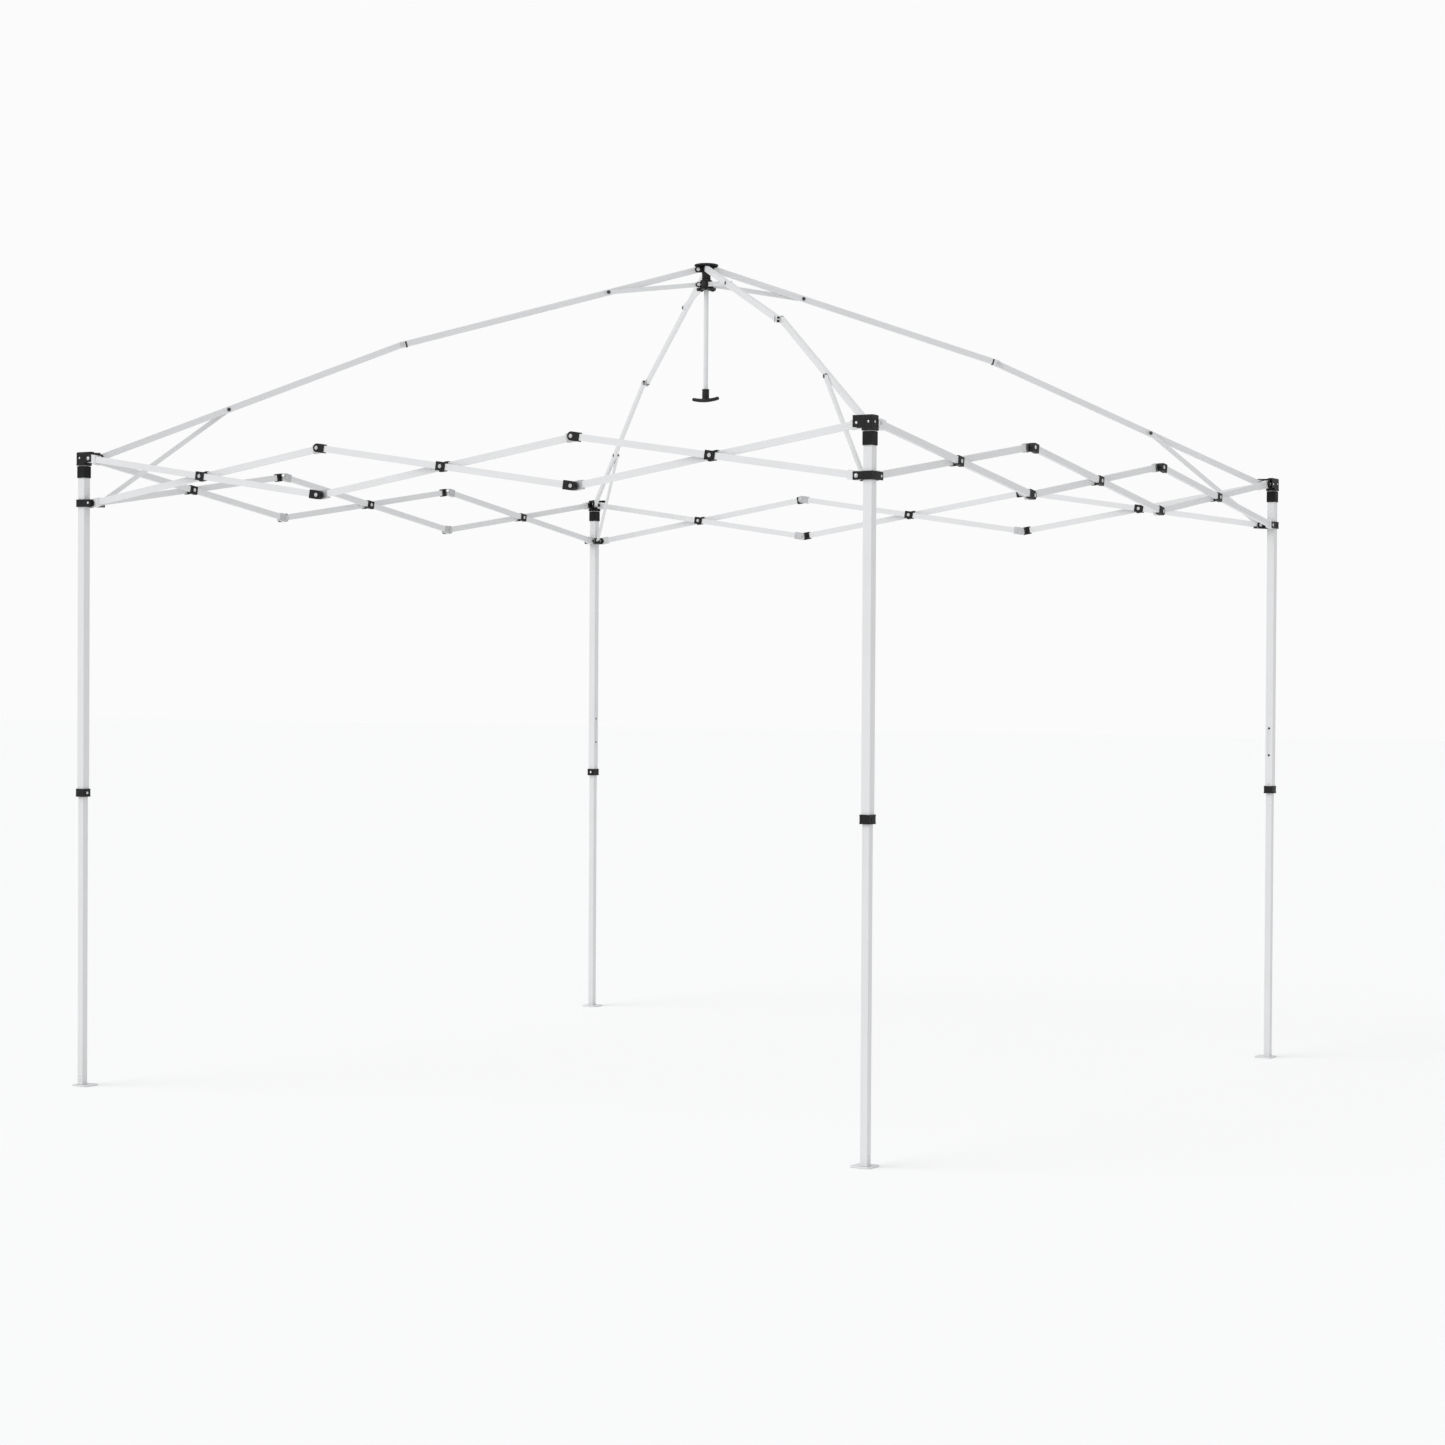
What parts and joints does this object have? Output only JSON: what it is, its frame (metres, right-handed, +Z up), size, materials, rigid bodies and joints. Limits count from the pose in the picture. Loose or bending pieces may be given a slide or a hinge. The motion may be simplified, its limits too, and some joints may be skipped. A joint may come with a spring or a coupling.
{
  "type": "pop up canopy frame",
  "caption": "Folding pop up canopy frame with telescoping legs, scissor sides, folding roof ribs and a peak hub with a hanging pull handle.",
  "frame": {"origin": "centre of the footprint, on the ground", "axes": "+Z up, +X to the right along the front side, +Y from the front side to the back side"},
  "size_m": [2.97, 2.97, 2.74],
  "materials": {
    "white_tube": "semi-gloss white powder coat",
    "white_inner_tube": "semi-gloss white powder coat with rub marks",
    "black_plastic": "moulded, slightly textured",
    "rivet_steel": "bright zinc"
  },
  "bodies": {
    "frame_front_left": {"upper_leg_front_left": "white_tube", "corner_bracket_front_left": "black_plastic"},
    "outer_rib_front_left": {"outer_rib_front_left": "white_tube"},
    "inner_rib_front_left": {"inner_rib_front_left": "white_tube"},
    "outer_rib_front_right": {"outer_rib_front_right": "white_tube"},
    "inner_rib_front_right": {"inner_rib_front_right": "white_tube"},
    "frame_front_right": {"upper_leg_front_right": "white_tube", "corner_bracket_front_right": "black_plastic"},
    "outer_rib_back_right": {"outer_rib_back_right": "white_tube"},
    "inner_rib_back_right": {"inner_rib_back_right": "white_tube"},
    "frame_back_right": {"upper_leg_back_right": "white_tube", "corner_bracket_back_right": "black_plastic"},
    "outer_rib_back_left": {"outer_rib_back_left": "white_tube"},
    "inner_rib_back_left": {"inner_rib_back_left": "white_tube"},
    "frame_back_left": {"upper_leg_back_left": "white_tube", "corner_bracket_back_left": "black_plastic"},
    "peak_hub": {"peak_hub": "black_plastic"},
    "pull_assembly": {"lower_hub": "black_plastic", "centre_pole": "white_tube", "pull_handle": "black_plastic"},
    "front_scissor_bar_1": {"front_scissor_bar_1": "white_tube"},
    "front_scissor_bar_2": {"front_scissor_bar_2": "white_tube"},
    "front_scissor_bar_3": {"front_scissor_bar_3": "white_tube"},
    "front_scissor_bar_4": {"front_scissor_bar_4": "white_tube"},
    "front_scissor_bar_5": {"front_scissor_bar_5": "white_tube"},
    "front_scissor_bar_6": {"front_scissor_bar_6": "white_tube"},
    "slider_front_left": {"slider_front_left": "black_plastic"},
    "outer_strut_front_left": {"outer_strut_front_left": "white_tube"},
    "inner_strut_front_left": {"inner_strut_front_left": "white_tube"},
    "lower_leg_front_left": {"lower_leg_front_left": "white_inner_tube"},
    "right_scissor_bar_1": {"right_scissor_bar_1": "white_tube"},
    "right_scissor_bar_2": {"right_scissor_bar_2": "white_tube"},
    "right_scissor_bar_3": {"right_scissor_bar_3": "white_tube"},
    "right_scissor_bar_4": {"right_scissor_bar_4": "white_tube"},
    "right_scissor_bar_5": {"right_scissor_bar_5": "white_tube"},
    "right_scissor_bar_6": {"right_scissor_bar_6": "white_tube"},
    "slider_front_right": {"slider_front_right": "black_plastic"},
    "outer_strut_front_right": {"outer_strut_front_right": "white_tube"},
    "inner_strut_front_right": {"inner_strut_front_right": "white_tube"},
    "lower_leg_front_right": {"lower_leg_front_right": "white_inner_tube"},
    "back_scissor_bar_1": {"back_scissor_bar_1": "white_tube"},
    "back_scissor_bar_2": {"back_scissor_bar_2": "white_tube"},
    "back_scissor_bar_3": {"back_scissor_bar_3": "white_tube"},
    "back_scissor_bar_4": {"back_scissor_bar_4": "white_tube"},
    "back_scissor_bar_5": {"back_scissor_bar_5": "white_tube"},
    "back_scissor_bar_6": {"back_scissor_bar_6": "white_tube"},
    "slider_back_right": {"slider_back_right": "black_plastic"},
    "outer_strut_back_right": {"outer_strut_back_right": "white_tube"},
    "inner_strut_back_right": {"inner_strut_back_right": "white_tube"},
    "lower_leg_back_right": {"lower_leg_back_right": "white_inner_tube"},
    "left_scissor_bar_1": {"left_scissor_bar_1": "white_tube"},
    "left_scissor_bar_2": {"left_scissor_bar_2": "white_tube"},
    "left_scissor_bar_3": {"left_scissor_bar_3": "white_tube"},
    "left_scissor_bar_4": {"left_scissor_bar_4": "white_tube"},
    "left_scissor_bar_5": {"left_scissor_bar_5": "white_tube"},
    "left_scissor_bar_6": {"left_scissor_bar_6": "white_tube"},
    "slider_back_left": {"slider_back_left": "black_plastic"},
    "outer_strut_back_left": {"outer_strut_back_left": "white_tube"},
    "inner_strut_back_left": {"inner_strut_back_left": "white_tube"},
    "lower_leg_back_left": {"lower_leg_back_left": "white_inner_tube"}
  },
  "joints": [
    {"name": "roof_fold", "type": "hinge", "parent": "frame_front_left", "child": "outer_rib_front_left", "pos_m": [-1.42464, -1.42464, 2.04], "axis": [-0.7071, 0.7071, 0], "range_deg": [0, 107.32], "stiffness_Nm_per_rad": 20000},
    {"name": "knee_front_left", "type": "hinge", "parent": "outer_rib_front_left", "child": "inner_rib_front_left", "pos_m": [-0.73274, -0.73274, 2.4364], "axis": [0.7071, -0.7071, 0], "range_deg": [0, 180.15]},
    {"name": "hub_front_left", "type": "hinge", "parent": "inner_rib_front_left", "child": "peak_hub", "pos_m": [-0.02121, -0.02121, 2.723], "axis": [-0.7071, 0.7071, 0], "range_deg": [0, 72.83]},
    {"name": "hub_front_right", "type": "hinge", "parent": "peak_hub", "child": "inner_rib_front_right", "pos_m": [0.02121, -0.02121, 2.723], "axis": [0.7071, 0.7071, 0], "range_deg": [0, 72.83]},
    {"name": "knee_front_right", "type": "hinge", "parent": "inner_rib_front_right", "child": "outer_rib_front_right", "pos_m": [0.73274, -0.73274, 2.4364], "axis": [-0.7071, -0.7071, 0], "range_deg": [0, 180.15]},
    {"name": "bracket_front_right", "type": "hinge", "parent": "outer_rib_front_right", "child": "frame_front_right", "pos_m": [1.42464, -1.42464, 2.04], "axis": [0.7071, 0.7071, 0], "range_deg": [0, 107.33]},
    {"name": "hub_back_right", "type": "hinge", "parent": "peak_hub", "child": "inner_rib_back_right", "pos_m": [0.02121, 0.02121, 2.723], "axis": [-0.7071, 0.7071, 0], "range_deg": [0, 72.83]},
    {"name": "knee_back_right", "type": "hinge", "parent": "inner_rib_back_right", "child": "outer_rib_back_right", "pos_m": [0.73274, 0.73274, 2.4364], "axis": [0.7071, -0.7071, 0], "range_deg": [0, 180.15]},
    {"name": "bracket_back_right", "type": "hinge", "parent": "outer_rib_back_right", "child": "frame_back_right", "pos_m": [1.42464, 1.42464, 2.04], "axis": [-0.7071, 0.7071, 0], "range_deg": [0, 107.33]},
    {"name": "hub_back_left", "type": "hinge", "parent": "peak_hub", "child": "inner_rib_back_left", "pos_m": [-0.02121, 0.02121, 2.723], "axis": [-0.7071, -0.7071, 0], "range_deg": [0, 72.83]},
    {"name": "knee_back_left", "type": "hinge", "parent": "inner_rib_back_left", "child": "outer_rib_back_left", "pos_m": [-0.73274, 0.73274, 2.4364], "axis": [0.7071, 0.7071, 0], "range_deg": [0, 180.15]},
    {"name": "bracket_back_left", "type": "hinge", "parent": "outer_rib_back_left", "child": "frame_back_left", "pos_m": [-1.42464, 1.42464, 2.04], "axis": [-0.7071, -0.7071, 0], "range_deg": [0, 107.33]},
    {"name": "hub_pull", "type": "slide", "parent": "peak_hub", "child": "pull_assembly", "axis": [0, 0, -1], "range_m": [0, 0.57965]},
    {"name": "front_pivot_1", "type": "hinge", "parent": "frame_front_left", "child": "front_scissor_bar_1", "pos_m": [-1.426, -1.46, 2.036], "axis": [0, 1, 0], "range_deg": [0, 77.39]},
    {"name": "front_cross_1", "type": "hinge", "parent": "front_scissor_bar_1", "child": "front_scissor_bar_2", "pos_m": [-0.95067, -1.46, 1.964], "axis": [0, -1, 0], "range_deg": [0, 154.77]},
    {"name": "front_joint_1", "type": "hinge", "parent": "front_scissor_bar_2", "child": "front_scissor_bar_3", "pos_m": [-0.47533, -1.46, 2.036], "axis": [0, 1, 0], "range_deg": [0, 154.77]},
    {"name": "front_pivot_2", "type": "hinge", "parent": "frame_front_right", "child": "front_scissor_bar_6", "pos_m": [1.426, -1.46, 2.036], "axis": [0, -1, 0], "range_deg": [0, 77.39]},
    {"name": "front_cross_3", "type": "hinge", "parent": "front_scissor_bar_6", "child": "front_scissor_bar_5", "pos_m": [0.95067, -1.46, 1.964], "axis": [0, 1, 0], "range_deg": [0, 154.77]},
    {"name": "front_joint_2", "type": "hinge", "parent": "front_scissor_bar_5", "child": "front_scissor_bar_4", "pos_m": [0.47533, -1.46, 2.036], "axis": [0, -1, 0], "range_deg": [0, 154.77]},
    {"name": "slider_front_left", "type": "hinge", "parent": "front_scissor_bar_2", "child": "slider_front_left", "pos_m": [-1.426, -1.46, 1.892], "axis": [0, 1, 0], "range_deg": [0, 77.39]},
    {"name": "outer_strut_front_left", "type": "hinge", "parent": "slider_front_left", "child": "outer_strut_front_left", "pos_m": [-1.42464, -1.42464, 1.892], "axis": [0.7071, -0.7071, 0], "range_deg": [0, 48.6]},
    {"name": "inner_strut_front_left", "type": "hinge", "parent": "pull_assembly", "child": "inner_strut_front_left", "pos_m": [-0.02121, -0.02121, 2.671], "axis": [-0.7071, 0.7071, 0], "range_deg": [0, 95.32]},
    {"name": "leg_height_front_left", "type": "slide", "parent": "frame_front_left", "child": "lower_leg_front_left", "axis": [0, 0, 1], "range_m": [0, 0.85], "stiffness_N_per_m": 60000},
    {"name": "right_pivot_1", "type": "hinge", "parent": "frame_front_right", "child": "right_scissor_bar_1", "pos_m": [1.46, -1.426, 2.036], "axis": [-1, 0, 0], "range_deg": [0, 77.39]},
    {"name": "right_cross_1", "type": "hinge", "parent": "right_scissor_bar_1", "child": "right_scissor_bar_2", "pos_m": [1.46, -0.95067, 1.964], "axis": [1, 0, 0], "range_deg": [0, 154.77]},
    {"name": "right_joint_1", "type": "hinge", "parent": "right_scissor_bar_2", "child": "right_scissor_bar_3", "pos_m": [1.46, -0.47533, 2.036], "axis": [-1, 0, 0], "range_deg": [0, 154.77]},
    {"name": "right_pivot_2", "type": "hinge", "parent": "frame_back_right", "child": "right_scissor_bar_6", "pos_m": [1.46, 1.426, 2.036], "axis": [1, 0, 0], "range_deg": [0, 77.39]},
    {"name": "right_cross_3", "type": "hinge", "parent": "right_scissor_bar_6", "child": "right_scissor_bar_5", "pos_m": [1.46, 0.95067, 1.964], "axis": [-1, 0, 0], "range_deg": [0, 154.77]},
    {"name": "right_joint_2", "type": "hinge", "parent": "right_scissor_bar_5", "child": "right_scissor_bar_4", "pos_m": [1.46, 0.47533, 2.036], "axis": [1, 0, 0], "range_deg": [0, 154.77]},
    {"name": "slider_front_right", "type": "hinge", "parent": "right_scissor_bar_2", "child": "slider_front_right", "pos_m": [1.46, -1.426, 1.892], "axis": [-1, 0, 0], "range_deg": [0, 77.39]},
    {"name": "outer_strut_front_right", "type": "hinge", "parent": "slider_front_right", "child": "outer_strut_front_right", "pos_m": [1.42464, -1.42464, 1.892], "axis": [0.7071, 0.7071, 0], "range_deg": [0, 48.6]},
    {"name": "inner_strut_front_right", "type": "hinge", "parent": "pull_assembly", "child": "inner_strut_front_right", "pos_m": [0.02121, -0.02121, 2.671], "axis": [-0.7071, -0.7071, 0], "range_deg": [0, 95.32]},
    {"name": "leg_height_front_right", "type": "slide", "parent": "frame_front_right", "child": "lower_leg_front_right", "axis": [0, 0, 1], "range_m": [0, 0.85], "stiffness_N_per_m": 60000},
    {"name": "back_pivot_1", "type": "hinge", "parent": "frame_back_right", "child": "back_scissor_bar_1", "pos_m": [1.426, 1.46, 2.036], "axis": [0, -1, 0], "range_deg": [0, 77.39]},
    {"name": "back_cross_1", "type": "hinge", "parent": "back_scissor_bar_1", "child": "back_scissor_bar_2", "pos_m": [0.95067, 1.46, 1.964], "axis": [0, 1, 0], "range_deg": [0, 154.77]},
    {"name": "back_joint_1", "type": "hinge", "parent": "back_scissor_bar_2", "child": "back_scissor_bar_3", "pos_m": [0.47533, 1.46, 2.036], "axis": [0, -1, 0], "range_deg": [0, 154.77]},
    {"name": "back_pivot_2", "type": "hinge", "parent": "frame_back_left", "child": "back_scissor_bar_6", "pos_m": [-1.426, 1.46, 2.036], "axis": [0, 1, 0], "range_deg": [0, 77.39]},
    {"name": "back_cross_3", "type": "hinge", "parent": "back_scissor_bar_6", "child": "back_scissor_bar_5", "pos_m": [-0.95067, 1.46, 1.964], "axis": [0, -1, 0], "range_deg": [0, 154.77]},
    {"name": "back_joint_2", "type": "hinge", "parent": "back_scissor_bar_5", "child": "back_scissor_bar_4", "pos_m": [-0.47533, 1.46, 2.036], "axis": [0, 1, 0], "range_deg": [0, 154.77]},
    {"name": "slider_back_right", "type": "hinge", "parent": "back_scissor_bar_2", "child": "slider_back_right", "pos_m": [1.426, 1.46, 1.892], "axis": [0, -1, 0], "range_deg": [0, 77.39]},
    {"name": "outer_strut_back_right", "type": "hinge", "parent": "slider_back_right", "child": "outer_strut_back_right", "pos_m": [1.42464, 1.42464, 1.892], "axis": [-0.7071, 0.7071, 0], "range_deg": [0, 48.6]},
    {"name": "inner_strut_back_right", "type": "hinge", "parent": "pull_assembly", "child": "inner_strut_back_right", "pos_m": [0.02121, 0.02121, 2.671], "axis": [0.7071, -0.7071, 0], "range_deg": [0, 95.32]},
    {"name": "leg_height_back_right", "type": "slide", "parent": "frame_back_right", "child": "lower_leg_back_right", "axis": [0, 0, 1], "range_m": [0, 0.85], "stiffness_N_per_m": 60000},
    {"name": "left_pivot_1", "type": "hinge", "parent": "frame_back_left", "child": "left_scissor_bar_1", "pos_m": [-1.46, 1.426, 2.036], "axis": [1, 0, 0], "range_deg": [0, 77.39]},
    {"name": "left_cross_1", "type": "hinge", "parent": "left_scissor_bar_1", "child": "left_scissor_bar_2", "pos_m": [-1.46, 0.95067, 1.964], "axis": [-1, 0, 0], "range_deg": [0, 154.77]},
    {"name": "left_joint_1", "type": "hinge", "parent": "left_scissor_bar_2", "child": "left_scissor_bar_3", "pos_m": [-1.46, 0.47533, 2.036], "axis": [1, 0, 0], "range_deg": [0, 154.77]},
    {"name": "left_pivot_2", "type": "hinge", "parent": "frame_front_left", "child": "left_scissor_bar_6", "pos_m": [-1.46, -1.426, 2.036], "axis": [-1, 0, 0], "range_deg": [0, 77.39]},
    {"name": "left_cross_3", "type": "hinge", "parent": "left_scissor_bar_6", "child": "left_scissor_bar_5", "pos_m": [-1.46, -0.95067, 1.964], "axis": [1, 0, 0], "range_deg": [0, 154.77]},
    {"name": "left_joint_2", "type": "hinge", "parent": "left_scissor_bar_5", "child": "left_scissor_bar_4", "pos_m": [-1.46, -0.47533, 2.036], "axis": [-1, 0, 0], "range_deg": [0, 154.77]},
    {"name": "slider_back_left", "type": "hinge", "parent": "left_scissor_bar_2", "child": "slider_back_left", "pos_m": [-1.46, 1.426, 1.892], "axis": [1, 0, 0], "range_deg": [0, 77.39]},
    {"name": "outer_strut_back_left", "type": "hinge", "parent": "slider_back_left", "child": "outer_strut_back_left", "pos_m": [-1.42464, 1.42464, 1.892], "axis": [-0.7071, -0.7071, 0], "range_deg": [0, 48.6]},
    {"name": "inner_strut_back_left", "type": "hinge", "parent": "pull_assembly", "child": "inner_strut_back_left", "pos_m": [-0.02121, 0.02121, 2.671], "axis": [0.7071, 0.7071, 0], "range_deg": [0, 95.32]},
    {"name": "leg_height_back_left", "type": "slide", "parent": "frame_back_left", "child": "lower_leg_back_left", "axis": [0, 0, 1], "range_m": [0, 0.85], "stiffness_N_per_m": 60000}
  ],
  "couplings": [
    {"joint": "knee_front_left", "follows": "roof_fold", "ratio": 1.6785},
    {"joint": "hub_front_left", "follows": "roof_fold", "ratio": 0.67855},
    {"joint": "hub_front_right", "follows": "roof_fold", "ratio": 0.67855},
    {"joint": "knee_front_right", "follows": "roof_fold", "ratio": 1.6785},
    {"joint": "bracket_front_right", "follows": "roof_fold", "ratio": 1},
    {"joint": "hub_back_right", "follows": "roof_fold", "ratio": 0.67855},
    {"joint": "knee_back_right", "follows": "roof_fold", "ratio": 1.6785},
    {"joint": "bracket_back_right", "follows": "roof_fold", "ratio": 1},
    {"joint": "hub_back_left", "follows": "roof_fold", "ratio": 0.67855},
    {"joint": "knee_back_left", "follows": "roof_fold", "ratio": 1.6785},
    {"joint": "bracket_back_left", "follows": "roof_fold", "ratio": 1},
    {"joint": "hub_pull", "follows": "roof_fold", "m_per_rad": 0.30945},
    {"joint": "front_pivot_1", "follows": "roof_fold", "ratio": 0.72105},
    {"joint": "front_cross_1", "follows": "roof_fold", "ratio": 1.4421},
    {"joint": "front_joint_1", "follows": "roof_fold", "ratio": 1.4421},
    {"joint": "front_pivot_2", "follows": "roof_fold", "ratio": 0.72105},
    {"joint": "front_cross_3", "follows": "roof_fold", "ratio": 1.4421},
    {"joint": "front_joint_2", "follows": "roof_fold", "ratio": 1.4421},
    {"joint": "slider_front_left", "follows": "roof_fold", "ratio": 0.72105},
    {"joint": "outer_strut_front_left", "follows": "roof_fold", "ratio": 0.4528},
    {"joint": "inner_strut_front_left", "follows": "roof_fold", "ratio": 0.88814},
    {"joint": "right_pivot_1", "follows": "roof_fold", "ratio": 0.72105},
    {"joint": "right_cross_1", "follows": "roof_fold", "ratio": 1.4421},
    {"joint": "right_joint_1", "follows": "roof_fold", "ratio": 1.4421},
    {"joint": "right_pivot_2", "follows": "roof_fold", "ratio": 0.72105},
    {"joint": "right_cross_3", "follows": "roof_fold", "ratio": 1.4421},
    {"joint": "right_joint_2", "follows": "roof_fold", "ratio": 1.4421},
    {"joint": "slider_front_right", "follows": "roof_fold", "ratio": 0.72105},
    {"joint": "outer_strut_front_right", "follows": "roof_fold", "ratio": 0.4528},
    {"joint": "inner_strut_front_right", "follows": "roof_fold", "ratio": 0.88814},
    {"joint": "back_pivot_1", "follows": "roof_fold", "ratio": 0.72105},
    {"joint": "back_cross_1", "follows": "roof_fold", "ratio": 1.4421},
    {"joint": "back_joint_1", "follows": "roof_fold", "ratio": 1.4421},
    {"joint": "back_pivot_2", "follows": "roof_fold", "ratio": 0.72105},
    {"joint": "back_cross_3", "follows": "roof_fold", "ratio": 1.4421},
    {"joint": "back_joint_2", "follows": "roof_fold", "ratio": 1.4421},
    {"joint": "slider_back_right", "follows": "roof_fold", "ratio": 0.72105},
    {"joint": "outer_strut_back_right", "follows": "roof_fold", "ratio": 0.4528},
    {"joint": "inner_strut_back_right", "follows": "roof_fold", "ratio": 0.88814},
    {"joint": "left_pivot_1", "follows": "roof_fold", "ratio": 0.72105},
    {"joint": "left_cross_1", "follows": "roof_fold", "ratio": 1.4421},
    {"joint": "left_joint_1", "follows": "roof_fold", "ratio": 1.4421},
    {"joint": "left_pivot_2", "follows": "roof_fold", "ratio": 0.72105},
    {"joint": "left_cross_3", "follows": "roof_fold", "ratio": 1.4421},
    {"joint": "left_joint_2", "follows": "roof_fold", "ratio": 1.4421},
    {"joint": "slider_back_left", "follows": "roof_fold", "ratio": 0.72105},
    {"joint": "outer_strut_back_left", "follows": "roof_fold", "ratio": 0.4528},
    {"joint": "inner_strut_back_left", "follows": "roof_fold", "ratio": 0.88814}
  ]
}
